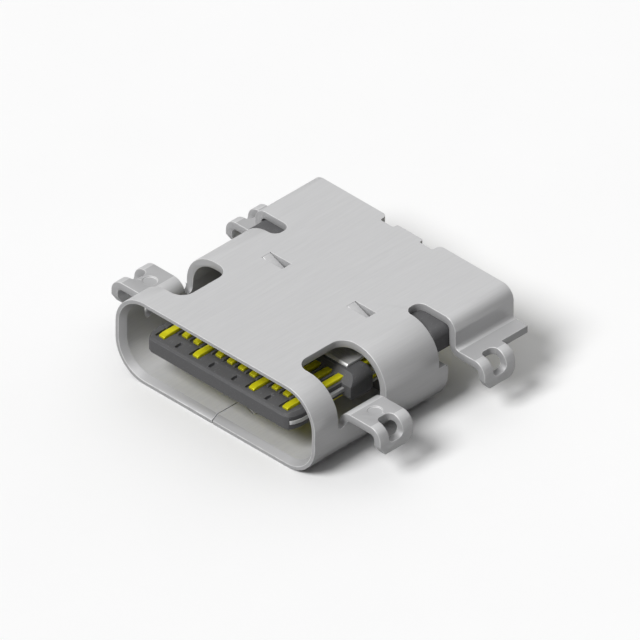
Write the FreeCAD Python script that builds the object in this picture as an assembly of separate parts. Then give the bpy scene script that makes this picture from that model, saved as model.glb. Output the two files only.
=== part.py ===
import FreeCAD, Part
import math
import os

# A USB-C socket for a cut-out in a circuit board. X runs to the right seen from the front of the mouth,
# Y runs from the mouth to the rear and Z is up. The origin is the centre of the mouth's front plane.
# All sizes are in millimetres.

# Mouth and sheet
OPENING_WIDTH = 8.34
OPENING_HEIGHT = 2.56
OPENING_RADIUS = 0.99
SHEET = 0.28
LIP_CHAMFER = 0.145
LIP_DEPTH = 0.245

# Board plane, which the ears and flanges sit on, and how far the legs reach below it
BOARD_Z = 0.20
LEG_DROP = 0.69

# Windows in the top, one each side, which the front ears are folded out of
WINDOW_FRONT = 1.05
WINDOW_LENGTH = 2.13
WINDOW_INNER = 2.52
WINDOW_RADIUS = 0.50

# Front ears and legs
EAR_RELIEF = 0.32
EAR_RELIEF_DEPTH = 0.24
EAR_WIDTH = 1.48
EAR_REACH = 6.00
EAR_FOLD_RADIUS = 0.21
LEG_FOLD_RADIUS = 0.17
LEG_CHAMFER_ALONG = 0.23
LEG_CHAMFER_UP = 0.34
LEG_ROUND = 0.36
LEG_CORNER_RADIUS = 0.05
HOLE_FROM_FRONT = 0.40
HOLE_WIDTH = 0.62
HOLE_INSET = 0.63
HOLE_DROP = 0.62
HOLE_ROUND = 0.20
DIMPLE_DIAMETER = 0.50
DIMPLE_DEPTH = 0.05
DIMPLE_INSET = 0.98

# Rear slots, and the lower half of the tube that reaches a little past their front
SLOT_FRONT = 5.56
SLOT_LENGTH = 0.69
SLOT_INNER = 2.88
SLOT_RADIUS = 0.30
LOWER_OVERHANG = 0.40
LOWER_EDGE_Z = 0.09

# Rear section, which is folded down at both sides into flanges with legs
REAR_HALF_WIDTH = 4.47
REAR_CORNER_RADIUS = 0.19
FLANGE_FOLD_RADIUS = 0.15
FLANGE_REACH = 5.14
FLANGE_REAR_INSET = 0.045
REAR_LEG_REACH = 5.775
REAR_LEG_WIDTH = 1.38
REAR_HOLE_WIDTH = 0.58

# Rear edge of the top, with two notches and a shorter tab between them
SHELL_LENGTH = 8.86
REAR_TAB_HALF = 0.58
REAR_TAB_INSET = 0.145
NOTCH_WIDTH = 0.58
NOTCH_DEPTH = 0.33
NOTCH_RADIUS = 0.08
NOTCH_CORNER_RADIUS = 0.20

# Lances in the top, pressed down into the housing
LANCE_CENTRE = 1.89
LANCE_FRONT = 4.43
LANCE_LENGTH = 0.90
LANCE_WIDTH = 0.40
LANCE_DROP = 0.34
LANCE_GAP = 0.03

# Seam in the bottom with its dovetail lock
SEAM_X = -0.15
SEAM_GAP = 0.04
LOCK_REACH = 0.85
LOCK_FRONT = 1.05
LOCK_HEAD = 1.90
LOCK_NECK = 1.36

# Tongue
TONGUE_FRONT = 0.09
TONGUE_FRONT_HALF = 3.07
TONGUE_HALF_WIDTH = 3.27
TONGUE_TAPER = 0.51
TONGUE_TAPER_BULGE = 0.04
TONGUE_THICKNESS = 0.70
TONGUE_BEVEL = 0.12
TONGUE_LEAD = 0.25
TONGUE_LEAD_DROP = 0.07
TONGUE_CORNER_ALONG = 0.13
TONGUE_CORNER_BACK = 0.07
LATCH_FRONT = 1.30
LATCH_DEPTH = 0.32
GROOVE_FRONT = 0.76
GROOVE_WIDTH = 0.08
GROOVE_DEPTH = 0.06
TEST_SLOT_WIDTH = 0.14
TEST_SLOT_LENGTH = 0.30
TEST_SLOT_CENTRE = 0.41
TEST_SLOT_DEPTH = 0.12
TEST_SLOT_PLACES = (-4, -1, 1, 4)
ROOT_FRONT = 2.70
RAMP_FRONT = 2.83
ROOT_REAR = 3.70
ROOT_WIDTH = 6.69
ROOT_HEIGHT = 1.02
ROOT_RADIUS = 0.35
NECK_HALF_WIDTH = 2.40
BODY_FRONT = 4.70

# Steel plate inside the tongue and the ground plates on its root
PLATE_THICKNESS = 0.14
PLATE_PROUD = 0.02
PLATE_FRONT = 0.20
PLATE_LATCH_PROUD = 0.10
PLATE_REAR = 4.95
GROUND_THICKNESS = 0.11
GROUND_FRONT = 3.10
GROUND_HALF_WIDTH = 2.78
GROUND_BEVEL = 0.06
GROUND_EMBED = 0.10

# Contacts
CONTACT_COUNT = 12
CONTACT_PITCH = 0.50
CONTACT_WIDTH = 0.24
CONTACT_THICKNESS = 0.12
CONTACT_PROUD = 0.02
LONG_PLACES = (0, 3)
LONG_START = 0.37
SHORT_START = 0.89
TIP_BEVEL = 0.14
TIP_BEVEL_DEPTH = 0.04
POCKET_RIM = 0.09
UPPER_RISE_START = 4.80
UPPER_RISE_END = 5.10
UPPER_RUN_TOP = 0.92
TAIL_FOLD_Y = 8.30
TAIL_REACH = 0.72
LOWER_RISE_START = 5.00
LOWER_RISE_END = 5.68
LOWER_RUN_BOTTOM = 0.46
PIN_FRONT_Y = 6.85
PIN_STAGGER = 0.70
PIN_BELOW_BOARD = 1.05

# Contact carriers
FIT = 0.02
CARRIER_RADIUS = 0.30
CARRIER_ABOVE_BOARD = 0.03
BLOCK_FOOT_BEVEL = 0.24
CORE_HALF_WIDTH = 3.10
CORE_FRONT = 5.15
CORE_TOP = 0.70
CORE_REAR = 7.90

OPENING_HALF = OPENING_WIDTH / 2
OPENING_TOP = OPENING_HEIGHT / 2
SHELL_HALF = OPENING_HALF + SHEET
SHELL_TOP = OPENING_TOP + SHEET
EAR_TOP = BOARD_Z + SHEET
LEG_TIP = BOARD_Z - LEG_DROP
WINDOW_REAR = WINDOW_FRONT + WINDOW_LENGTH
EAR_FRONT = WINDOW_FRONT + EAR_RELIEF
EAR_REAR = EAR_FRONT + EAR_WIDTH
EAR_FOLD_START = BOARD_Z - EAR_FOLD_RADIUS
EAR_FOLD_END = OPENING_HALF + SHEET + EAR_FOLD_RADIUS
SLOT_REAR = SLOT_FRONT + SLOT_LENGTH
LOWER_END = SLOT_FRONT + LOWER_OVERHANG
BLOCK_FRONT = SLOT_FRONT + FIT
NOTCH_FRONT = SHELL_LENGTH - NOTCH_DEPTH
TONGUE_TOP = TONGUE_THICKNESS / 2
ROOT_TOP = ROOT_HEIGHT / 2
CONTACT_TOP = TONGUE_TOP + CONTACT_PROUD
POCKET_FLOOR = CONTACT_TOP - CONTACT_THICKNESS
LATCH_X = TONGUE_HALF_WIDTH - LATCH_DEPTH
FAR = 20.0
TINY = 1e-6

FRONT_VIEW = FreeCAD.Vector(0, -1, 0)
SIDE_VIEW = FreeCAD.Vector(1, 0, 0)
TOP_VIEW = FreeCAD.Vector(0, 0, 1)


def vec(x, y, z):
    return FreeCAD.Vector(x, y, z)


def box(x0, x1, y0, y1, z0, z1):
    """Box between its lowest and highest corners."""
    return Part.makeBox(x1 - x0, y1 - y0, z1 - z0, vec(x0, y0, z0))


def mirrored_x(shape):
    return shape.mirror(vec(0, 0, 0), vec(1, 0, 0))


def mirrored_z(shape):
    return shape.mirror(vec(0, 0, 0), vec(0, 0, 1))


def prism(points, direction):
    """Solid from a flat polygon pushed along a direction."""
    face = Part.Face(Part.makePolygon(points + [points[0]]))
    return face.extrude(direction)


def directions(points):
    """Unit vector of each run of a path."""
    runs = []
    for a, b in zip(points, points[1:]):
        run = b - a
        run.normalize()
        runs.append(run)
    return runs


def offset_path(points, view, distance):
    """Path beside an open path, to its right as seen along the view direction."""
    runs = directions(points)
    sides = [run.cross(view) for run in runs]
    moved = [points[0] + sides[0] * distance]
    for corner, a, b in zip(points[1:-1], sides, sides[1:]):
        moved.append(corner + (a + b) * (distance / (1 + a.dot(b))))
    moved.append(points[-1] + sides[-1] * distance)
    return moved


def straight(a, b):
    """Edge between two points, or none where an arc starts at the point itself."""
    return [Part.LineSegment(a, b).toShape()] if (b - a).Length > TINY else []


def rounded_path(points, radii):
    """Edges of an open path whose corners are arcs."""
    runs = directions(points)
    edges = []
    start = points[0]
    for corner, a, b, radius in zip(points[1:-1], runs, runs[1:], radii):
        half_turn = a.getAngle(b) / 2
        reach = radius * math.tan(half_turn)
        inward = b - a
        inward.normalize()
        middle = corner + inward * (radius / math.cos(half_turn) - radius)
        arc_start = corner - a * reach
        arc_end = corner + b * reach
        edges += straight(start, arc_start)
        edges.append(Part.Arc(arc_start, middle, arc_end).toShape())
        start = arc_end
    return edges + straight(start, points[-1])


def folded_sheet(points, folds, sheet, view, push):
    """Bent strip: the path is its left face, each fold has its inside radius, and push is its width."""
    runs = directions(points)
    left_radii = []
    right_radii = []
    for a, b, fold in zip(runs, runs[1:], folds):
        turns_left = a.cross(b).dot(view) > 0
        left_radii.append(fold if turns_left else fold + sheet)
        right_radii.append(fold + sheet if turns_left else fold)
    right = offset_path(points, view, sheet)
    edges = rounded_path(points, left_radii) + rounded_path(right, right_radii)
    edges.append(Part.LineSegment(points[0], right[0]).toShape())
    edges.append(Part.LineSegment(points[-1], right[-1]).toShape())
    return Part.Face(Part.Wire(Part.sortEdges(edges)[0])).extrude(push)


def bent_bar(points, thickness, push):
    """Bent strip with plain corners: the path is its upper face and push is its width."""
    return prism(points + offset_path(points, SIDE_VIEW, thickness)[::-1], push)


def rounded_outline(half_width, half_height, radius, y):
    """Upright rounded rectangle about the Y axis."""
    w = half_width - radius
    h = half_height - radius
    diagonal = radius * math.sqrt(0.5)
    edges = []
    for sx, sz in ((1, 1), (1, -1), (-1, -1), (-1, 1)):
        on_side = vec(sx * half_width, y, sz * h)
        between = vec(sx * (w + diagonal), y, sz * (h + diagonal))
        on_flat = vec(sx * w, y, sz * half_height)
        edges.append(Part.Arc(on_side, between, on_flat).toShape())
    for s in (1, -1):
        edges.append(Part.LineSegment(vec(-w, y, s * half_height), vec(w, y, s * half_height)).toShape())
        edges.append(Part.LineSegment(vec(s * half_width, y, -h), vec(s * half_width, y, h)).toShape())
    return Part.Wire(Part.sortEdges(edges)[0])


def rounded_bar(half_width, half_height, radius, y0, y1):
    face = Part.Face(rounded_outline(half_width, half_height, radius, y0))
    return face.extrude(vec(0, y1 - y0, 0))


def rounded_cut(x0, x1, y0, y1, z0, z1, radius, axis):
    """Box whose four edges along one axis are rounded."""
    block = box(x0, x1, y0, y1, z0, z1)
    along = []
    for edge in block.Edges:
        run = edge.Vertexes[1].Point - edge.Vertexes[0].Point
        if abs(run.dot(axis)) > 0.99 * run.Length:
            along.append(edge)
    return block.makeFillet(radius, along)


def tube():
    """Mouth tube with its lead-in chamfer."""
    outer = rounded_bar(SHELL_HALF, SHELL_TOP, OPENING_RADIUS + SHEET, 0, SLOT_REAR)
    inner = rounded_bar(OPENING_HALF, OPENING_TOP, OPENING_RADIUS, 0, SLOT_REAR)
    wide = rounded_outline(OPENING_HALF + LIP_CHAMFER, OPENING_TOP + LIP_CHAMFER,
                           OPENING_RADIUS + LIP_CHAMFER, 0)
    narrow = rounded_outline(OPENING_HALF, OPENING_TOP, OPENING_RADIUS, LIP_DEPTH)
    lead_in = Part.makeLoft([wide, narrow], True, True)
    return outer.cut(inner).cut(lead_in)


def ear_reliefs():
    """The two slots with round ends beside the right ear, which let its fold bend freely."""
    cuts = []
    for y0, y1 in ((WINDOW_FRONT, EAR_FRONT), (EAR_REAR, WINDOW_REAR)):
        radius = (y1 - y0) / 2
        middle = BOARD_Z - EAR_RELIEF_DEPTH + radius
        round_end = Part.makeCylinder(radius, FAR, vec(OPENING_HALF - SHEET, y0 + radius, middle), SIDE_VIEW)
        cuts.append(round_end.fuse(box(OPENING_HALF - SHEET, FAR, y0, y1, middle, SHELL_TOP)))
    return cuts


def window_cut():
    """Right window: the flat outline, the room for the fold of its lower edge and the reliefs."""
    plan = rounded_cut(WINDOW_INNER, FAR, WINDOW_FRONT, WINDOW_REAR, BOARD_Z, FAR, WINDOW_RADIUS, TOP_VIEW)
    fold_room = box(OPENING_HALF - SHEET, FAR, WINDOW_FRONT, WINDOW_REAR, EAR_FOLD_START, EAR_TOP)
    return plan.fuse([fold_room] + ear_reliefs())


def ear_root():
    """Fold of the right window's lower edge, of which the reliefs leave a foot on each side of the ear."""
    wall_foot = EAR_FOLD_START - SHEET / 2
    path = [
        vec(OPENING_HALF, WINDOW_FRONT, wall_foot),
        vec(OPENING_HALF, WINDOW_FRONT, EAR_TOP),
        vec(EAR_FOLD_END, WINDOW_FRONT, EAR_TOP),
    ]
    fold = folded_sheet(path, [EAR_FOLD_RADIUS], SHEET, FRONT_VIEW, vec(0, WINDOW_LENGTH, 0))
    return fold.cut(ear_reliefs())


def leg_outline(front, width, reach):
    """Side outline of a leg, pushed through the whole reach: one corner is cut off and one is rounded."""
    rear = front + width
    points = [
        vec(0, front, SHELL_TOP),
        vec(0, front, LEG_TIP + LEG_CHAMFER_UP),
        vec(0, front + LEG_CHAMFER_ALONG, LEG_TIP),
        vec(0, rear, LEG_TIP),
        vec(0, rear, SHELL_TOP),
    ]
    edges = rounded_path(points, [LEG_CORNER_RADIUS, LEG_CORNER_RADIUS, LEG_ROUND])
    edges.append(Part.LineSegment(points[-1], points[0]).toShape())
    return Part.Face(Part.Wire(Part.sortEdges(edges)[0])).extrude(vec(reach + SHEET, 0, 0))


def leg_hole(front, width, reach):
    """Long hole that starts on the flat, runs over the fold and ends on the leg."""
    top = EAR_TOP
    rear = front + width
    flat = rounded_cut(reach - HOLE_INSET, reach + SHEET, front, rear, BOARD_Z - SHEET, top + SHEET,
                       HOLE_ROUND, TOP_VIEW)
    leg = rounded_cut(reach - 1.5 * SHEET, reach + SHEET, front, rear, top - HOLE_DROP, top + SHEET,
                      HOLE_ROUND, SIDE_VIEW)
    flat_part = flat.common(box(0, reach - SHEET, front, rear, BOARD_Z - SHEET, top + SHEET))
    return flat_part.fuse(leg)


def front_ear():
    """Right front ear: the side wall turns outwards and then down into the leg."""
    path = [
        vec(OPENING_HALF, EAR_FRONT, EAR_FOLD_START - SHEET / 2),
        vec(OPENING_HALF, EAR_FRONT, EAR_TOP),
        vec(EAR_REACH, EAR_FRONT, EAR_TOP),
        vec(EAR_REACH, EAR_FRONT, LEG_TIP),
    ]
    strip = folded_sheet(path, [EAR_FOLD_RADIUS, LEG_FOLD_RADIUS], SHEET, FRONT_VIEW, vec(0, EAR_WIDTH, 0))
    strip = strip.common(leg_outline(EAR_FRONT, EAR_WIDTH, EAR_REACH))
    strip = strip.cut(leg_hole(EAR_FRONT + HOLE_FROM_FRONT, HOLE_WIDTH, EAR_REACH))
    centre = vec(EAR_REACH - DIMPLE_INSET, EAR_FRONT + EAR_WIDTH / 2, EAR_TOP - DIMPLE_DEPTH)
    strip = strip.cut(Part.makeCylinder(DIMPLE_DIAMETER / 2, SHEET, centre))
    return strip.fuse(ear_root())


def rear_side(reach, y0, y1, drop):
    """Right side of the rear section: top plate, corner, side, flange and, with a drop, the leg."""
    path = [
        vec(SLOT_INNER / 2, y0, SHELL_TOP),
        vec(REAR_HALF_WIDTH, y0, SHELL_TOP),
        vec(REAR_HALF_WIDTH, y0, EAR_TOP),
        vec(reach, y0, EAR_TOP),
    ]
    folds = [REAR_CORNER_RADIUS, FLANGE_FOLD_RADIUS]
    if drop:
        path.append(vec(reach, y0, LEG_TIP))
        folds.append(LEG_FOLD_RADIUS)
    return folded_sheet(path, folds, SHEET, FRONT_VIEW, vec(0, y1 - y0, 0))


def rear_section():
    """Top plate behind the slots with both folded sides and their legs."""
    flange = rear_side(FLANGE_REACH, SLOT_REAR, SHELL_LENGTH, False)
    flange = flange.cut(box(REAR_HALF_WIDTH, FAR, SHELL_LENGTH - FLANGE_REAR_INSET, FAR, 0, SHELL_TOP))
    leg = rear_side(REAR_LEG_REACH, SLOT_REAR, SLOT_REAR + REAR_LEG_WIDTH, True)
    leg = leg.common(leg_outline(SLOT_REAR, REAR_LEG_WIDTH, REAR_LEG_REACH))
    hole_front = SLOT_REAR + (REAR_LEG_WIDTH - REAR_HOLE_WIDTH) / 2
    hole = leg_hole(hole_front, REAR_HOLE_WIDTH, REAR_LEG_REACH)
    side = flange.fuse(leg).cut(hole)
    plate = box(-SLOT_INNER, SLOT_INNER, SLOT_FRONT, SHELL_LENGTH, OPENING_TOP, SHELL_TOP)
    return plate.fuse(side).fuse(mirrored_x(side))


def rear_edge_cut():
    """Cutter for the rear edge of the top: two notches and, between them, the shorter tab."""
    base = OPENING_TOP - SHEET
    notch_side = REAR_TAB_HALF + NOTCH_WIDTH
    right = [
        (notch_side + 2 * NOTCH_CORNER_RADIUS, SHELL_LENGTH),
        (notch_side, SHELL_LENGTH),
        (notch_side, NOTCH_FRONT),
        (REAR_TAB_HALF, NOTCH_FRONT),
        (REAR_TAB_HALF, SHELL_LENGTH - REAR_TAB_INSET),
    ]
    radii = [NOTCH_CORNER_RADIUS, NOTCH_RADIUS, NOTCH_RADIUS, NOTCH_RADIUS]
    outline = [vec(x, y, base) for x, y in right] + [vec(-x, y, base) for x, y in right[::-1]]
    edges = rounded_path(outline, radii + radii[::-1])
    behind = [outline[-1], vec(outline[-1].x, FAR, base), vec(outline[0].x, FAR, base), outline[0]]
    for a, b in zip(behind, behind[1:]):
        edges += straight(a, b)
    return Part.Face(Part.Wire(Part.sortEdges(edges)[0])).extrude(vec(0, 0, 3 * SHEET))


def lance(left):
    """Tab of a lance: it hangs from its left end and slopes down to the right."""
    path = [
        vec(left - SHEET, LANCE_FRONT + LANCE_GAP, SHELL_TOP),
        vec(left, LANCE_FRONT + LANCE_GAP, SHELL_TOP),
        vec(left + LANCE_LENGTH - 2 * LANCE_GAP, LANCE_FRONT + LANCE_GAP, SHELL_TOP - LANCE_DROP),
    ]
    return folded_sheet(path, [SHEET / 2], SHEET, FRONT_VIEW, vec(0, LANCE_WIDTH - 2 * LANCE_GAP, 0))


def lance_lefts():
    return [side * LANCE_CENTRE - LANCE_LENGTH / 2 for side in (-1, 1)]


def seam_cut():
    """Thin gap along the bottom that steps round the dovetail lock."""
    neck_front = LOCK_FRONT + (LOCK_HEAD - LOCK_NECK) / 2
    head_x = SEAM_X + LOCK_REACH
    z = -SHELL_TOP - SHEET
    path = [
        vec(SEAM_X, -SHEET, z),
        vec(SEAM_X, neck_front, z),
        vec(head_x, LOCK_FRONT, z),
        vec(head_x, LOCK_FRONT + LOCK_HEAD, z),
        vec(SEAM_X, neck_front + LOCK_NECK, z),
        vec(SEAM_X, LOWER_END + SHEET, z),
    ]
    folds = [SEAM_GAP] * 4
    return folded_sheet(path, folds, SEAM_GAP, TOP_VIEW, vec(0, 0, 3 * SHEET))


def make_shell():
    """The whole folded sheet."""
    shell = tube()
    slot = rounded_cut(SLOT_INNER, FAR, SLOT_FRONT, SLOT_REAR, LOWER_EDGE_Z, FAR, SLOT_RADIUS, TOP_VIEW)
    slot = slot.fuse(box(OPENING_HALF - SHEET, FAR, SLOT_FRONT, SLOT_REAR, LOWER_EDGE_Z, OPENING_TOP / 2))
    slot = slot.fuse(box(SLOT_INNER + SLOT_RADIUS, FAR, SLOT_FRONT + SLOT_RADIUS, SLOT_REAR, 0, FAR))
    for cut in (slot, window_cut()):
        shell = shell.cut(cut).cut(mirrored_x(cut))
    shell = shell.cut(box(-FAR, FAR, LOWER_END, FAR, -FAR, OPENING_TOP - SHEET))
    ear = front_ear()
    shell = shell.fuse(ear).fuse(mirrored_x(ear)).fuse(rear_section())
    shell = shell.cut(rear_edge_cut())
    for left in lance_lefts():
        opening = box(left, left + LANCE_LENGTH, LANCE_FRONT, LANCE_FRONT + LANCE_WIDTH, 0, FAR)
        shell = shell.cut(opening.cut(lance(left))).fuse(lance(left))
    return shell.cut(seam_cut()).removeSplitter()


def both_sides(right):
    """Closed outline in plan from its right half, front to rear."""
    left = [vec(-p.x, p.y, p.z) for p in reversed(right)]
    return right + left


def tongue_side(z):
    """Right half of the tongue's outline in plan, from its blunted front corner to the latch notch."""
    taper_middle = (TONGUE_FRONT_HALF + TONGUE_HALF_WIDTH) / 2 + TONGUE_TAPER_BULGE
    widening = (taper_middle - TONGUE_FRONT_HALF) * TONGUE_CORNER_BACK / (TONGUE_TAPER / 2)
    return [
        vec(TONGUE_FRONT_HALF - TONGUE_CORNER_ALONG, TONGUE_FRONT, z),
        vec(TONGUE_FRONT_HALF + widening, TONGUE_FRONT + TONGUE_CORNER_BACK, z),
        vec(taper_middle, TONGUE_FRONT + TONGUE_TAPER / 2, z),
        vec(TONGUE_HALF_WIDTH, TONGUE_FRONT + TONGUE_TAPER, z),
        vec(TONGUE_HALF_WIDTH, LATCH_FRONT, z),
    ]


def tongue_plan(z):
    """Right half of the tongue's outline with the latch notch, which runs to the root."""
    return tongue_side(z) + [
        vec(LATCH_X, LATCH_FRONT + LATCH_DEPTH / 2, z),
        vec(LATCH_X, ROOT_FRONT + SHEET, z),
    ]


def tongue_blade():
    """Flat blade, bevelled round the front and along the sides, with a shallow lead above and below."""
    blade = prism(both_sides(tongue_plan(-TONGUE_TOP)), vec(0, 0, TONGUE_THICKNESS))
    bevelled = []
    for edge in blade.Edges:
        level = abs(edge.Vertexes[0].Z - edge.Vertexes[1].Z) < TINY
        if level and edge.BoundBox.YMax < LATCH_FRONT + TINY:
            bevelled.append(edge)
    lead = front_bevel(TONGUE_TOP, TONGUE_FRONT, TONGUE_LEAD, TONGUE_LEAD_DROP)
    return blade.makeChamfer(TONGUE_BEVEL, bevelled).cut(lead).cut(mirrored_z(lead))


def front_bevel(top, y, back, drop):
    """Wedge that takes off the upper front edge."""
    points = [vec(-FAR, y, top - drop), vec(-FAR, y - back, top + drop), vec(-FAR, y + back, top)]
    return prism(points, vec(2 * FAR, 0, 0))


def contact_starts():
    """Centre and front end of each contact in a row: the supply contacts are longer than the others."""
    last = CONTACT_COUNT - 1
    rows = []
    for i in range(CONTACT_COUNT):
        x = (i - last / 2) * CONTACT_PITCH
        rows.append((x, LONG_START if min(i, last - i) in LONG_PLACES else SHORT_START))
    return rows


def tip_wedge(x, start, top):
    """Wedge that bevels the front end of a contact's upper face."""
    points = [
        vec(x - CONTACT_WIDTH, start, top - TIP_BEVEL_DEPTH),
        vec(x - CONTACT_WIDTH, start + TIP_BEVEL, top),
        vec(x - CONTACT_WIDTH, start, top + TIP_BEVEL_DEPTH),
    ]
    return prism(points, vec(2 * CONTACT_WIDTH, 0, 0))


def upper_contact(x, start):
    """Flat spring end, a rise inside the block, a run to the rear and a tail on the board."""
    left = x - CONTACT_WIDTH / 2
    tail_top = BOARD_Z + CONTACT_THICKNESS
    path = [
        vec(left, start, CONTACT_TOP),
        vec(left, UPPER_RISE_START, CONTACT_TOP),
        vec(left, UPPER_RISE_END, UPPER_RUN_TOP),
        vec(left, TAIL_FOLD_Y, UPPER_RUN_TOP),
        vec(left, TAIL_FOLD_Y, tail_top),
        vec(left, SHELL_LENGTH + TAIL_REACH, tail_top),
    ]
    return bent_bar(path, CONTACT_THICKNESS, vec(CONTACT_WIDTH, 0, 0)).cut(tip_wedge(x, start, CONTACT_TOP))


def lower_contact(x, start, pin_y):
    """Flat spring end, a rise over the board's edge and a pin down through the board."""
    left = x - CONTACT_WIDTH / 2
    top = -POCKET_FLOOR
    run_top = LOWER_RUN_BOTTOM + CONTACT_THICKNESS
    path = [
        vec(left, start, top),
        vec(left, LOWER_RISE_START, top),
        vec(left, LOWER_RISE_END, run_top),
        vec(left, pin_y + CONTACT_THICKNESS, run_top),
        vec(left, pin_y + CONTACT_THICKNESS, BOARD_Z - PIN_BELOW_BOARD),
    ]
    strip = bent_bar(path, CONTACT_THICKNESS, vec(CONTACT_WIDTH, 0, 0))
    return strip.cut(mirrored_z(tip_wedge(x, start, CONTACT_TOP)))


def upper_contacts():
    return [upper_contact(x, start) for x, start in contact_starts()]


def lower_contacts():
    """Lower row: its pins stand in two staggered lines."""
    row = []
    for i, (x, start) in enumerate(contact_starts()):
        row.append(lower_contact(x, start, PIN_FRONT_Y + PIN_STAGGER * (i % 2)))
    return row


def pocket(x, start):
    """Open channel in the tongue's upper face round a contact."""
    half = CONTACT_WIDTH / 2 + POCKET_RIM
    return box(x - half, x + half, start - POCKET_RIM, RAMP_FRONT, POCKET_FLOOR, FAR)


def test_slots():
    """Small blind slots in the tongue's upper face, between the long contacts."""
    slots = []
    for place in TEST_SLOT_PLACES:
        x0 = place * CONTACT_PITCH - TEST_SLOT_WIDTH / 2
        y0 = TEST_SLOT_CENTRE - TEST_SLOT_LENGTH / 2
        slots.append(box(x0, x0 + TEST_SLOT_WIDTH, y0, y0 + TEST_SLOT_LENGTH,
                         TONGUE_TOP - TEST_SLOT_DEPTH, FAR))
    return slots


def tongue_root():
    """Thicker root with a ramp on both faces, and the neck that joins it to the carriers."""
    root = rounded_bar(ROOT_WIDTH / 2, ROOT_TOP, ROOT_RADIUS, ROOT_FRONT, ROOT_REAR)
    ramp_size = ROOT_TOP - TONGUE_TOP + RAMP_FRONT - ROOT_FRONT
    ramp = front_bevel(ROOT_TOP, ROOT_FRONT, ramp_size, ramp_size)
    neck = box(-NECK_HALF_WIDTH, NECK_HALF_WIDTH, ROOT_REAR, BODY_FRONT, -ROOT_TOP, ROOT_TOP)
    return root.cut(ramp).cut(mirrored_z(ramp)).fuse(neck)


def comb_groove():
    """Thin groove across the tongue's upper face, in front of the ribs between the contacts."""
    return box(-FAR, FAR, GROOVE_FRONT, GROOVE_FRONT + GROOVE_WIDTH, TONGUE_TOP - GROOVE_DEPTH, FAR)


def make_tongue(plates, contacts):
    """Moulded tongue on its thicker root, with channels for both rows of contacts."""
    cuts = [pocket(x, start) for x, start in contact_starts()]
    cuts += test_slots()
    cuts.append(comb_groove())
    cuts += [mirrored_z(cut) for cut in cuts]
    return tongue_blade().cut(cuts).fuse(tongue_root()).cut(plates + contacts).removeSplitter()


def make_mid_plate():
    """Latch plate between the two rows, whose edges show along the tongue's sides and in its notches."""
    z = -PLATE_THICKNESS / 2
    outline = [point + vec(PLATE_PROUD, 0, 0) for point in tongue_side(z)]
    latch_edge = LATCH_X + PLATE_LATCH_PROUD
    outline += [vec(latch_edge, LATCH_FRONT, z), vec(latch_edge, PLATE_REAR, z)]
    plate = prism(both_sides(outline), vec(0, 0, PLATE_THICKNESS))
    return plate.cut(box(-FAR, FAR, -FAR, PLATE_FRONT, -FAR, FAR))


def make_ground_plate():
    """Sheet on the upper side of the tongue's root, with its end held in the carrier."""
    plate = box(-GROUND_HALF_WIDTH, GROUND_HALF_WIDTH, GROUND_FRONT, BODY_FRONT + GROUND_EMBED,
                ROOT_TOP, ROOT_TOP + GROUND_THICKNESS)
    return plate.cut(front_bevel(ROOT_TOP + GROUND_THICKNESS, GROUND_FRONT, GROUND_BEVEL, GROUND_BEVEL))


def carrier_section(y0, y1):
    """Bar that fills the tube's opening with a small clearance."""
    return rounded_bar(OPENING_HALF - FIT, OPENING_TOP - FIT, OPENING_RADIUS - FIT, y0, y1)


def lower_core():
    """Upright middle of the lower carrier, which holds the rising part of the lower contacts."""
    return box(-CORE_HALF_WIDTH, CORE_HALF_WIDTH, CORE_FRONT, CORE_REAR, 0, CORE_TOP)


def above_board():
    return BOARD_Z + CARRIER_ABOVE_BOARD


def make_lower_carrier(held):
    """Lower moulding: the lower half of the tube's filling with the core on it."""
    half = carrier_section(BODY_FRONT, LOWER_END - FIT).common(box(-FAR, FAR, 0, FAR, -FAR, 0))
    board_room = box(-FAR, FAR, LOWER_END - FIT, FAR, -FAR, above_board())
    return half.fuse(lower_core()).cut(board_room).cut(held).removeSplitter()


def foot_bevel(side, size):
    """Wedge that takes off the block's lower right edge, which clears the fold of the flange."""
    points = [
        vec(side - size, 0, above_board()),
        vec(side, 0, above_board() + size),
        vec(side + size, 0, above_board()),
        vec(side, 0, above_board() - size),
    ]
    return prism(points, vec(0, FAR, 0))


def make_upper_carrier(held):
    """Upper moulding: the upper half of the tube's filling and the block under the rear section."""
    half = carrier_section(BODY_FRONT, BLOCK_FRONT + FIT).common(box(-FAR, FAR, 0, FAR, 0, FAR))
    side = OPENING_HALF
    block = rounded_cut(-side, side, BLOCK_FRONT, NOTCH_FRONT - FIT, -OPENING_TOP, OPENING_TOP,
                        CARRIER_RADIUS, vec(0, 1, 0))
    block = block.common(box(-FAR, FAR, 0, FAR, above_board(), FAR))
    foot = foot_bevel(side, BLOCK_FOOT_BEVEL)
    block = block.cut(foot).cut(mirrored_x(foot))
    body = half.fuse(block).cut(lower_core())
    for left in lance_lefts():
        room = lance(left).cut(box(-FAR, FAR, 0, FAR, OPENING_TOP, FAR))
        reach = room.BoundBox
        body = body.cut(box(reach.XMin - FIT, reach.XMax + FIT, reach.YMin - FIT, reach.YMax + FIT,
                            reach.ZMin - FIT, OPENING_TOP + FIT))
    return body.cut(held).removeSplitter()


def export(name, shape):
    shape.exportStep("parts/" + name + ".step")


def main():
    os.makedirs("parts", exist_ok=True)
    uppers = upper_contacts()
    lowers = lower_contacts()
    mid_plate = make_mid_plate()
    ground = make_ground_plate()
    plates = [mid_plate, ground, mirrored_z(ground)]
    held = plates + uppers + lowers
    export("shell", make_shell())
    export("tongue", make_tongue(plates, uppers + lowers))
    export("upper_carrier", make_upper_carrier(held))
    export("lower_carrier", make_lower_carrier(held))
    export("mid_plate", mid_plate)
    export("upper_ground_plate", ground)
    export("lower_ground_plate", mirrored_z(ground))
    for row, contacts in (("upper", uppers), ("lower", lowers)):
        for i, contact in enumerate(contacts):
            export("%s_contact_%02d" % (row, i + 1), contact)


main()
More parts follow.
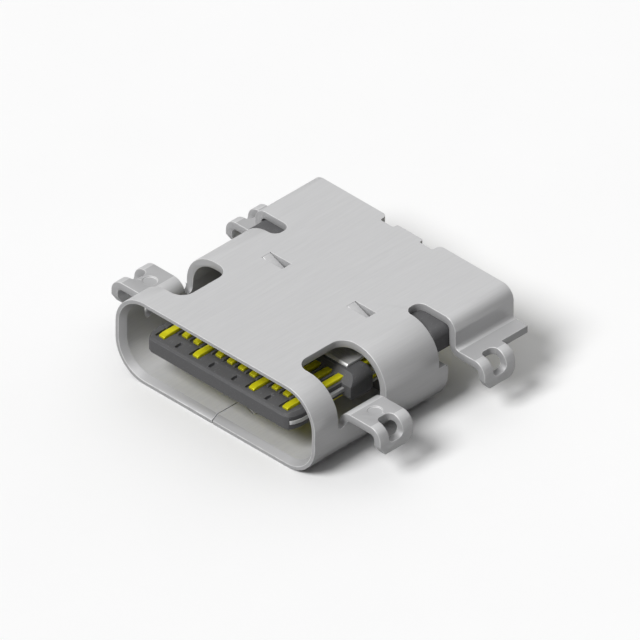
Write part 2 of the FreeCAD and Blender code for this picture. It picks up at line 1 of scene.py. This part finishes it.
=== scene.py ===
import bmesh
import bpy
import math
from mathutils import Euler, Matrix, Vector
from mathutils.bvhtree import BVHTree


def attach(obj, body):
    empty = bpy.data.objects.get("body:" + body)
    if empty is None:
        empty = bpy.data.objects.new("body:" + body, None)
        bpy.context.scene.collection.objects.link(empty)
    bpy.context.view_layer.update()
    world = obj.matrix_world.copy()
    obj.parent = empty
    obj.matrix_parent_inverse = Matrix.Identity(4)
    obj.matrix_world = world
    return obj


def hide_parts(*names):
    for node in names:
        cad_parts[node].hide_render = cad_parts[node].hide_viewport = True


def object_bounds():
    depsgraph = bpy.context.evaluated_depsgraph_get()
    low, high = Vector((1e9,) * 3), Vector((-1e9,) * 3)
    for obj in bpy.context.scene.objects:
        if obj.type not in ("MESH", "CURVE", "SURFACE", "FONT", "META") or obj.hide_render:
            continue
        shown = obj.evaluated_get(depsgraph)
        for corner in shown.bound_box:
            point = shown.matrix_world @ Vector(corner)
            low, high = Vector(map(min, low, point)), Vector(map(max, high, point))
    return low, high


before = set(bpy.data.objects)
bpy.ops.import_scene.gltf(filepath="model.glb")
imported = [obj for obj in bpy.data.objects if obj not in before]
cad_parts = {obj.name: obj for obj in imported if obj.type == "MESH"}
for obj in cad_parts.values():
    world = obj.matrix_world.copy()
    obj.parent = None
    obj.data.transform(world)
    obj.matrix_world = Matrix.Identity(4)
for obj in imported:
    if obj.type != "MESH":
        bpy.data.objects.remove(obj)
cad_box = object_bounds()

# Contacts. Twenty-four thin strips of copper alloy, stamped and bent, with gold plated on at the tips.
# They are moulded into the plastic, twelve above and twelve below the tongue, and their tips are coined
# to a bevel so that the plug rides up onto them.
CONTACT_EDGE = 0.000012
CONTACTS_IN_ROW = 12
MERGE_DISTANCE = 1e-7
SAME_PLANE = math.radians(0.5)
SEAM = math.radians(1)
CREASE = math.radians(12)
CORNER = math.radians(35)
ROUNDED_STEP = math.radians(50)
ROOM_FOR_TWO_EDGES = 2.2
CONTACT_RELIEF = 0.000004
GOLD = (0.92, 0.86, 0.02, 1)
GOLD_DEEP = (0.84, 0.76, 0.015, 1)
# Edge colour: partly wear, partly a painted highlight.
GOLD_WEAR_HIGHLIGHT = (0.98, 0.93, 0.08, 1)


def loose_copy(name):
    """Copy of a solid's mesh with its doubled corners merged and its flat faces joined."""
    work = bmesh.new()
    work.from_mesh(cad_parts[name].data)
    bmesh.ops.remove_doubles(work, verts=work.verts, dist=MERGE_DISTANCE)
    bmesh.ops.dissolve_limit(work, angle_limit=SAME_PLANE, use_dissolve_boundaries=False,
                             verts=work.verts, edges=work.edges, delimit={"NORMAL"})
    return work


def has_room(loop, depth):
    """Whether a face reaches a depth behind the middle of one of its edges, so that the edge can be rounded.

    A seam inside one flat side is no bound: the side goes on beyond it."""
    along = (loop.link_loop_next.vert.co - loop.vert.co).normalized()
    inward = loop.face.normal.cross(along)
    middle = (loop.vert.co + loop.link_loop_next.vert.co) / 2
    for other in loop.face.loops:
        if other is loop or other.edge.calc_face_angle(0) < SEAM:
            continue
        first = other.vert.co - middle
        last = other.link_loop_next.vert.co - middle
        first_side, last_side = first.dot(along), last.dot(along)
        if first_side * last_side > 0 or abs(first_side - last_side) < 1e-12:
            continue
        share = first_side / (first_side - last_side)
        if 1e-8 < first.lerp(last, share).dot(inward) < depth:
            return False
    return True


def break_edges(work, width, cramped=False):
    """Rounds the corners of a piece to a width, and marks the new narrow faces, which the finishes make
    lighter: partly wear, partly a painted highlight along the edges.

    Shallower creases between flat faces stay crisp, and the steps round a bend are smoothed. On a
    cramped piece an edge also stays crisp where a face beside it is too narrow for two rounded edges."""
    wear_highlight_faces = work.loops.layers.float_color.new("wear_highlight_faces")
    for face in work.faces:
        for loop in face.loops:
            loop[wear_highlight_faces] = (0, 0, 0, 1)
    corners = [edge for edge in work.edges if edge.calc_face_angle(0) > CORNER]
    if cramped:
        room = ROOM_FOR_TWO_EDGES * width
        corners = [edge for edge in corners if all(has_room(loop, room) for loop in edge.link_loops)]
    made = bmesh.ops.bevel(work, geom=corners, offset=width, offset_type="OFFSET", segments=2,
                           affect="EDGES", profile=0.5, material=-1, clamp_overlap=False,
                           face_strength_mode="ALL")
    for face in made["faces"]:
        for loop in face.loops:
            loop[wear_highlight_faces] = (1, 1, 1, 1)
    work.normal_update()
    for face in work.faces:
        face.smooth = True
    for edge in work.edges:
        edge.smooth = edge.calc_face_angle(0) < CREASE
    for face in made["faces"]:
        for edge in face.edges:
            edge.smooth = edge.calc_face_angle(0) < ROUNDED_STEP


def piece_from(work, name, node, material):
    """Puts in the finished piece for a solid: it rides with the socket, and broad faces lead its shading."""
    mesh = bpy.data.meshes.new(name)
    work.to_mesh(mesh)
    work.free()
    piece = bpy.data.objects.new(name, mesh)
    bpy.context.scene.collection.objects.link(piece)
    mesh.materials.append(material)
    shading = piece.modifiers.new("even shading", "WEIGHTED_NORMAL")
    shading.mode = "FACE_AREA"
    shading.keep_sharp = True
    shading.use_face_influence = True
    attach(piece, "root")
    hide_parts(node)


def new_group(name, inputs, outputs):
    """Empty shader group with named sockets, each given as name, kind and default value."""
    group = bpy.data.node_groups.new(name, "ShaderNodeTree")
    for socket_name, kind, value in inputs:
        socket = group.interface.new_socket(name=socket_name, in_out="INPUT", socket_type=kind)
        if value is not None:
            socket.default_value = value
    for socket_name, kind in outputs:
        group.interface.new_socket(name=socket_name, in_out="OUTPUT", socket_type=kind)
    return group, group.nodes.new("NodeGroupInput"), group.nodes.new("NodeGroupOutput")


def math_node(tree, operation, first, second, clamp=False):
    """Maths node fed by two sockets or numbers."""
    node = tree.nodes.new("ShaderNodeMath")
    node.operation = operation
    node.use_clamp = clamp
    for slot, value in zip(node.inputs, (first, second)):
        if isinstance(value, (int, float)):
            slot.default_value = value
        else:
            tree.links.new(value, slot)
    return node.outputs["Value"]


def noise_node(tree, vector, scale, detail=3.0, roughness=0.55, distortion=0.0):
    """Noise read at a point."""
    node = tree.nodes.new("ShaderNodeTexNoise")
    tree.links.new(vector, node.inputs["Vector"])
    node.inputs["Scale"].default_value = scale
    node.inputs["Detail"].default_value = detail
    node.inputs["Roughness"].default_value = roughness
    node.inputs["Distortion"].default_value = distortion
    return node.outputs["Fac"]


def spread(tree, value, low, high, out_low=0.0, out_high=1.0):
    """Value stretched from one range to another, held at its ends."""
    node = tree.nodes.new("ShaderNodeMapRange")
    node.clamp = True
    tree.links.new(value, node.inputs["Value"])
    for socket, number in (("From Min", low), ("From Max", high), ("To Min", out_low), ("To Max", out_high)):
        node.inputs[socket].default_value = number
    return node.outputs["Result"]


def stretched(tree, vector, factors):
    """Point whose three lengths are multiplied one by one, for grain that runs one way."""
    node = tree.nodes.new("ShaderNodeVectorMath")
    node.operation = "MULTIPLY"
    tree.links.new(vector, node.inputs[0])
    if isinstance(factors, tuple):
        node.inputs[1].default_value = factors
    else:
        tree.links.new(factors, node.inputs[1])
    return node.outputs["Vector"]


def enlarged(tree, vector, factor):
    """Point multiplied by one factor, which sets how fine a pattern is."""
    node = tree.nodes.new("ShaderNodeVectorMath")
    node.operation = "SCALE"
    tree.links.new(vector, node.inputs[0])
    tree.links.new(factor, node.inputs["Scale"])
    return node.outputs["Vector"]


def mixed(tree, factor, first, second):
    """Colour between two colours, each a socket or a plain value."""
    node = tree.nodes.new("ShaderNodeMix")
    node.data_type = "RGBA"
    tree.links.new(factor, node.inputs["Factor"])
    for socket, value in ((node.inputs["A"], first), (node.inputs["B"], second)):
        if isinstance(value, tuple):
            socket.default_value = value
        else:
            tree.links.new(value, socket)
    return node.outputs["Result"]


def grain_group():
    """Rolled grain: long thin streaks in a metal strip, with a few deeper lines among them."""
    group, entry, result = new_group(
        "rolled grain",
        [("Point", "NodeSocketVector", None), ("Stretch", "NodeSocketVector", (1, 1, 1)),
         ("Fineness", "NodeSocketFloat", 30000.0)],
        [("Height", "NodeSocketFloat"), ("Streaks", "NodeSocketFloat")])
    along = stretched(group, entry.outputs["Point"], entry.outputs["Stretch"])
    point = enlarged(group, along, entry.outputs["Fineness"])
    fine = noise_node(group, point, 1.0, detail=4.0, roughness=0.6)
    broad = noise_node(group, point, 0.31, detail=2.0, roughness=0.5)
    lines = spread(group, broad, 0.62, 0.72)
    height = math_node(group, "SUBTRACT", fine, math_node(group, "MULTIPLY", lines, 0.6))
    group.links.new(height, result.inputs["Height"])
    group.links.new(fine, result.inputs["Streaks"])
    return group


def build_edge_wear_highlight():
    """Edge wear and painted highlight: the marked narrow faces, broken up so that the wear isn't even; the
    lighter tone they get is partly wear and partly a painted highlight along the edges.
    """
    group, entry, result = new_group(
        "edge wear and highlight",
        [("Point", "NodeSocketVector", None), ("Fineness", "NodeSocketFloat", 4000.0),
         ("Amount", "NodeSocketFloat", 1.0)],
        [("Mask", "NodeSocketFloat")])
    marked = group.nodes.new("ShaderNodeAttribute")
    marked.attribute_name = "wear_highlight_faces"
    patch = group.nodes.new("ShaderNodeTexNoise")
    group.links.new(entry.outputs["Point"], patch.inputs["Vector"])
    group.links.new(entry.outputs["Fineness"], patch.inputs["Scale"])
    patch.inputs["Detail"].default_value = 4.0
    broken = spread(group, patch.outputs["Fac"], 0.30, 0.60, 0.35, 1.0)
    mask = math_node(group, "MULTIPLY", math_node(group, "MULTIPLY", marked.outputs["Fac"], broken),
                     entry.outputs["Amount"], clamp=True)
    group.links.new(mask, result.inputs["Mask"])
    return group


def handled_group():
    """Handling marks: broad soft patches and fine specks that dull a finish here and there."""
    group, entry, result = new_group(
        "handling marks",
        [("Point", "NodeSocketVector", None), ("Fineness", "NodeSocketFloat", 600.0)],
        [("Patches", "NodeSocketFloat"), ("Specks", "NodeSocketFloat")])
    point = enlarged(group, entry.outputs["Point"], entry.outputs["Fineness"])
    patches = noise_node(group, point, 1.0, detail=5.0, roughness=0.6, distortion=0.4)
    specks = noise_node(group, point, 31.0, detail=2.0, roughness=0.5)
    group.links.new(spread(group, patches, 0.35, 0.68), result.inputs["Patches"])
    group.links.new(spread(group, specks, 0.66, 0.76), result.inputs["Specks"])
    return group


rolled_grain = grain_group()
wear_highlight_group = build_edge_wear_highlight()
handling_marks = handled_group()


def placed(tree, group, point, **values):
    """A shared group placed in a material, fed with the point on the piece and its own values."""
    node = tree.nodes.new("ShaderNodeGroup")
    node.node_tree = group
    tree.links.new(point, node.inputs["Point"])
    for name, value in values.items():
        node.inputs[name].default_value = value
    return node


def new_finish(name):
    """New material with its shader and the point on the piece that its patterns read."""
    material = bpy.data.materials.new(name)
    material.use_nodes = True
    tree = material.node_tree
    shader = tree.nodes["Principled BSDF"]
    point = tree.nodes.new("ShaderNodeTexCoord").outputs["Object"]
    return material, tree, shader, point


def raised(tree, shader, height, depth, strength):
    """Gives a surface a small relief of a real depth."""
    bump = tree.nodes.new("ShaderNodeBump")
    bump.inputs["Strength"].default_value = strength
    bump.inputs["Distance"].default_value = depth
    tree.links.new(height, bump.inputs["Height"])
    tree.links.new(bump.outputs["Normal"], shader.inputs["Normal"])


def contact_plating():
    """Gold over nickel: bright, with fine stamping streaks along the strip."""
    material, tree, shader, point = new_finish("contact gold")
    grain = placed(tree, rolled_grain, point, Stretch=(1.0, 0.08, 1.0), Fineness=26000.0)
    marks = placed(tree, handling_marks, point, Fineness=1500.0)
    wear_highlight_node = placed(tree, wear_highlight_group, point, Fineness=6000.0, Amount=0.8)
    tone = mixed(tree, spread(tree, grain.outputs["Streaks"], 0.3, 0.7, 0.0, 0.45), GOLD, GOLD_DEEP)
    # The narrow edge faces are made lighter: partly wear, partly a painted highlight along the edges.
    tone = mixed(tree, wear_highlight_node.outputs["Mask"], tone, GOLD_WEAR_HIGHLIGHT)
    tree.links.new(tone, shader.inputs["Base Color"])
    shader.inputs["Metallic"].default_value = 0.4
    shader.inputs["Specular IOR Level"].default_value = 0.15
    rough = math_node(tree, "ADD", spread(tree, grain.outputs["Streaks"], 0.25, 0.75, 0.26, 0.36),
                      math_node(tree, "MULTIPLY", marks.outputs["Patches"], 0.08))
    tree.links.new(rough, shader.inputs["Roughness"])
    raised(tree, shader, grain.outputs["Height"], CONTACT_RELIEF, strength=0.35)
    return material


contact_gold = contact_plating()
for row in ("upper", "lower"):
    for number in range(1, CONTACTS_IN_ROW + 1):
        node_name = "%s_contact_%02d" % (row, number)
        strip = loose_copy(node_name)
        break_edges(strip, CONTACT_EDGE)
        piece_from(strip, "gold_" + node_name, node_name, contact_gold)


# Latch plate and ground plates. Hard stainless sheet, punched out flat: the latch plate lies inside the
# tongue and shows only along its sides and in the latch notches, and the two ground plates lie on the
# root above and below it, where the plug's springs touch them.
PLATE_EDGE = 0.000014
PLATE_RELIEF = 0.000004
PLATE_BRIGHT = (0.74, 0.74, 0.73, 1)
PLATE_DARK = (0.60, 0.60, 0.60, 1)
# Edge colour: partly wear, partly a painted highlight.
PLATE_WEAR_HIGHLIGHT = (0.86, 0.86, 0.85, 1)


def plate_finish():
    """Bright punched stainless with a rolled grain across the tongue."""
    material, tree, shader, point = new_finish("plate steel")
    grain = placed(tree, rolled_grain, point, Stretch=(0.06, 1.0, 1.0), Fineness=24000.0)
    marks = placed(tree, handling_marks, point, Fineness=900.0)
    wear_highlight_node = placed(tree, wear_highlight_group, point, Fineness=5000.0, Amount=0.7)
    tone = mixed(tree, spread(tree, grain.outputs["Streaks"], 0.3, 0.7), PLATE_DARK, PLATE_BRIGHT)
    # The narrow edge faces are made lighter: partly wear, partly a painted highlight along the edges.
    tone = mixed(tree, wear_highlight_node.outputs["Mask"], tone, PLATE_WEAR_HIGHLIGHT)
    tree.links.new(tone, shader.inputs["Base Color"])
    shader.inputs["Metallic"].default_value = 0.4
    rough = math_node(tree, "ADD", spread(tree, grain.outputs["Streaks"], 0.25, 0.75, 0.30, 0.40),
                      math_node(tree, "MULTIPLY", marks.outputs["Patches"], 0.10))
    tree.links.new(rough, shader.inputs["Roughness"])
    raised(tree, shader, grain.outputs["Height"], PLATE_RELIEF, strength=0.3)
    return material


plate_steel = plate_finish()
for node_name in ("mid_plate", "upper_ground_plate", "lower_ground_plate"):
    sheet = loose_copy(node_name)
    break_edges(sheet, PLATE_EDGE)
    piece_from(sheet, "steel_" + node_name, node_name, plate_steel)


# Tongue. Black glass-filled nylon moulded round the latch plate and both rows of contacts, with an open
# channel for each strip, small test slots near its front edge and a thicker root with a ramp.
TONGUE_EDGE = 0.000016
PLASTIC_RELIEF = 0.000006
PLASTIC = (0.105, 0.105, 0.108, 1)
PLASTIC_PALE = (0.135, 0.135, 0.138, 1)
PLASTIC_FIBRE = (0.18, 0.18, 0.185, 1)
# Edge colour: partly wear, partly a painted highlight.
PLASTIC_WEAR_HIGHLIGHT = (0.17, 0.17, 0.175, 1)


def moulded_finish():
    """Black moulded plastic: fine spark-eroded grain, pale glass fibres and lighter corners, partly wear and
    partly a painted highlight.
    """
    material, tree, shader, point = new_finish("black plastic")
    marks = placed(tree, handling_marks, point, Fineness=1100.0)
    wear_highlight_node = placed(tree, wear_highlight_group, point, Fineness=5000.0, Amount=0.6)
    grain = noise_node(tree, point, 42000.0, detail=3.0, roughness=0.6)
    fibres = noise_node(tree, stretched(tree, point, (1.0, 0.25, 1.0)), 30000.0, detail=1.0, roughness=0.4)
    fibre_mask = spread(tree, fibres, 0.66, 0.74, 0.0, 0.7)
    tone = mixed(tree, spread(tree, marks.outputs["Patches"], 0.0, 1.0, 0.0, 0.35), PLASTIC, PLASTIC_PALE)
    tone = mixed(tree, fibre_mask, tone, PLASTIC_FIBRE)
    # The narrow edge faces are made lighter: partly wear, partly a painted highlight along the edges.
    tone = mixed(tree, wear_highlight_node.outputs["Mask"], tone, PLASTIC_WEAR_HIGHLIGHT)
    tree.links.new(tone, shader.inputs["Base Color"])
    rough = math_node(tree, "ADD", spread(tree, grain, 0.3, 0.7, 0.42, 0.56),
                      math_node(tree, "MULTIPLY", marks.outputs["Patches"], 0.10))
    tree.links.new(rough, shader.inputs["Roughness"])
    shader.inputs["Specular IOR Level"].default_value = 0.3
    raised(tree, shader, grain, PLASTIC_RELIEF, strength=0.45)
    return material


black_plastic = moulded_finish()
tongue = loose_copy("tongue")
break_edges(tongue, TONGUE_EDGE)
piece_from(tongue, "moulded_tongue", "tongue", black_plastic)


# Contact carriers. Two more mouldings of the same black plastic behind the tongue, pushed in from the rear:
# they fill the tube, hold the bent part of the contacts and stand under the rear of the shell's top.
CARRIER_EDGE = 0.000018

for node_name, cramped in (("upper_carrier", True), ("lower_carrier", False)):
    block = loose_copy(node_name)
    break_edges(block, CARRIER_EDGE, cramped)
    piece_from(block, "moulded_" + node_name, node_name, black_plastic)


# Shell. One piece of nickel-plated stainless sheet, cut out, rolled round into the mouth and locked along
# the bottom with a dovetail. The ears, flanges and legs are folded out of the same sheet, and the two
# lances in its top are pressed down into the carrier.
SHEET = 0.00028
SHEET_SPREAD = 0.00004
JUST_INSIDE = 0.000004
SHELL_EDGE = 0.000020
SHELL_RELIEF = 0.000005
SHELL_TONE = (0.65, 0.65, 0.655, 1)
SHELL_DARK = (0.59, 0.59, 0.595, 1)
SHELL_SHEARED = (0.42, 0.42, 0.425, 1)
# Edge colour: partly wear, partly a painted highlight.
SHELL_WEAR_HIGHLIGHT = (0.80, 0.80, 0.80, 1)


def mark_sheared(work):
    """Marks the narrow faces where the sheet was cut: behind them the metal is deeper than the sheet."""
    sheared = work.loops.layers.float_color.new("sheared")
    tree = BVHTree.FromBMesh(work)
    for face in work.faces:
        inward = -face.normal
        start = face.calc_center_median() + inward * JUST_INSIDE
        depth = tree.ray_cast(start, inward)[3]
        is_sheet = depth is not None and abs(depth - SHEET) < SHEET_SPREAD
        for loop in face.loops:
            loop[sheared] = (0, 0, 0, 1) if is_sheet else (1, 1, 1, 1)


def shell_finish():
    """Satin nickel over rolled stainless, with duller sheared edges and bright corners, partly wear and
    partly a painted highlight.
    """
    material, tree, shader, point = new_finish("shell steel")
    grain = placed(tree, rolled_grain, point, Stretch=(1.0, 0.05, 1.0), Fineness=15000.0)
    marks = placed(tree, handling_marks, point, Fineness=420.0)
    wear_highlight_node = placed(tree, wear_highlight_group, point, Fineness=2600.0, Amount=0.8)
    cut = tree.nodes.new("ShaderNodeAttribute")
    cut.attribute_name = "sheared"
    cut_lines = noise_node(tree, stretched(tree, point, (1.0, 1.0, 0.08)), 30000.0, detail=3.0, roughness=0.6)
    tone = mixed(tree, spread(tree, grain.outputs["Streaks"], 0.2, 0.8), SHELL_DARK, SHELL_TONE)
    tone = mixed(tree, math_node(tree, "MULTIPLY", marks.outputs["Specks"], 0.3), tone, SHELL_DARK)
    tone = mixed(tree, math_node(tree, "MULTIPLY", cut.outputs["Fac"], 0.8), tone, SHELL_SHEARED)
    # The narrow edge faces are made lighter: partly wear, partly a painted highlight along the edges.
    tone = mixed(tree, wear_highlight_node.outputs["Mask"], tone, SHELL_WEAR_HIGHLIGHT)
    tree.links.new(tone, shader.inputs["Base Color"])
    shader.inputs["Metallic"].default_value = 0.2
    rough = math_node(tree, "ADD", spread(tree, grain.outputs["Streaks"], 0.25, 0.75, 0.38, 0.46),
                      math_node(tree, "MULTIPLY", marks.outputs["Patches"], 0.03))
    rough = math_node(tree, "ADD", rough, math_node(tree, "MULTIPLY", cut.outputs["Fac"], 0.12))
    tree.links.new(rough, shader.inputs["Roughness"])
    cut_relief = math_node(tree, "MULTIPLY", cut.outputs["Fac"], cut_lines)
    height = math_node(tree, "ADD", grain.outputs["Height"], math_node(tree, "MULTIPLY", cut_relief, 1.5))
    raised(tree, shader, height, SHELL_RELIEF, strength=0.35)
    return material


shell_steel = shell_finish()
shell = loose_copy("shell")
mark_sheared(shell)
break_edges(shell, SHELL_EDGE, cramped=True)
piece_from(shell, "folded_shell", "shell", shell_steel)


# Table and light. A pale matt table that keeps the socket's shadow, under a room that is brightest high up
# behind it. A broad lamp from the front lights the top, the mouth and the tongue, and a weak fill comes
# from the right. The table throws little light back, so that the sides stay darker than the top.
TABLE_HALF = 0.15
TABLE_GAP = 0.000002
TABLE_GRAIN = 300.0
TABLE_TONE = (0.955, 0.955, 0.955, 1)
TABLE_PALE = (0.975, 0.975, 0.975, 1)
TABLE_GREY = (0.10, 0.10, 0.10, 1)
SKY_BRIGHTEST = (-0.25, 0.60, 0.76)
SKY_LOW = 0.03
SKY_HIGH = 0.75

table_mesh = bmesh.new()
bmesh.ops.create_grid(table_mesh, x_segments=8, y_segments=8, size=TABLE_HALF)
bmesh.ops.translate(table_mesh, verts=table_mesh.verts, vec=(0, 0, cad_box[0][2] - TABLE_GAP))
table_data = bpy.data.meshes.new("table")
table_mesh.to_mesh(table_data)
table_mesh.free()
table = bpy.data.objects.new("table", table_data)
bpy.context.scene.collection.objects.link(table)
table_material, tree, shader, point = new_finish("table white")
seen = tree.nodes.new("ShaderNodeLightPath")
reflected = math_node(tree, "MAXIMUM", seen.outputs["Is Glossy Ray"], seen.outputs["Is Transmission Ray"])
shown = math_node(tree, "MAXIMUM", seen.outputs["Is Camera Ray"], reflected)
paper = mixed(tree, noise_node(tree, point, TABLE_GRAIN, detail=4.0), TABLE_TONE, TABLE_PALE)
tree.links.new(mixed(tree, shown, TABLE_GREY, paper), shader.inputs["Base Color"])
shader.inputs["Roughness"].default_value = 0.9
shader.inputs["Specular IOR Level"].default_value = 0.1
table_data.materials.append(table_material)

scene = bpy.context.scene
scene.view_settings.view_transform = "Standard"

room = bpy.data.worlds.new("room")
scene.world = room
room.use_nodes = True
sky = room.node_tree
direction = sky.nodes.new("ShaderNodeTexCoord").outputs["Generated"]
toward = sky.nodes.new("ShaderNodeVectorMath")
toward.operation = "DOT_PRODUCT"
sky.links.new(direction, toward.inputs[0])
toward.inputs[1].default_value = SKY_BRIGHTEST
glow = spread(sky, toward.outputs["Value"], 0.35, 0.95, SKY_LOW, SKY_HIGH)
# Below the horizon the room is white, so that a low view shows no dark band past the table.
upward = sky.nodes.new("ShaderNodeSeparateXYZ")
sky.links.new(direction, upward.inputs["Vector"])
beneath = spread(sky, upward.outputs["Z"], -0.02, -0.01, 1.0, 0.0)
sky.links.new(math_node(sky, "MAXIMUM", glow, beneath), sky.nodes["Background"].inputs["Strength"])
sky.nodes["Background"].inputs["Color"].default_value = (1, 1, 1, 1)


def soft_lamp(name, strength, width, aim):
    """Broad distant lamp that shines along a direction, its width given in degrees."""
    data = bpy.data.lights.new(name, "SUN")
    data.energy = strength
    data.angle = math.radians(width)
    lamp = bpy.data.objects.new(name, data)
    lamp.rotation_euler = Vector(aim).to_track_quat("-Z", "Y").to_euler()
    scene.collection.objects.link(lamp)


soft_lamp("front lamp", strength=2.7, width=25, aim=(0.04, 0.66, -0.75))
soft_lamp("side fill", strength=0.1, width=30, aim=(-0.45, 0.45, -0.77))

# Camera. The photograph is a true isometric view with no perspective, from the right, the front and above,
# so the camera has parallel rays and stands on the diagonal of a cube.
VIEW_AZIMUTH = math.radians(45)
VIEW_ELEVATION = math.atan(math.sqrt(0.5))
VIEW_WIDTH = 0.02018
VIEW_CENTRE = Vector((-0.000178, 0.004860, 0.0))
CAMERA_DISTANCE = 0.06

camera_data = bpy.data.cameras.new("camera")
camera_data.type = "ORTHO"
camera_data.ortho_scale = VIEW_WIDTH
camera_data.clip_start = 0.001
camera_data.clip_end = 1.0
camera = bpy.data.objects.new("camera", camera_data)
scene.collection.objects.link(camera)
camera.rotation_euler = Euler((math.pi / 2 - VIEW_ELEVATION, 0, VIEW_AZIMUTH))
camera.location = VIEW_CENTRE + camera.rotation_euler.to_matrix() @ Vector((0, 0, CAMERA_DISTANCE))
scene.camera = camera
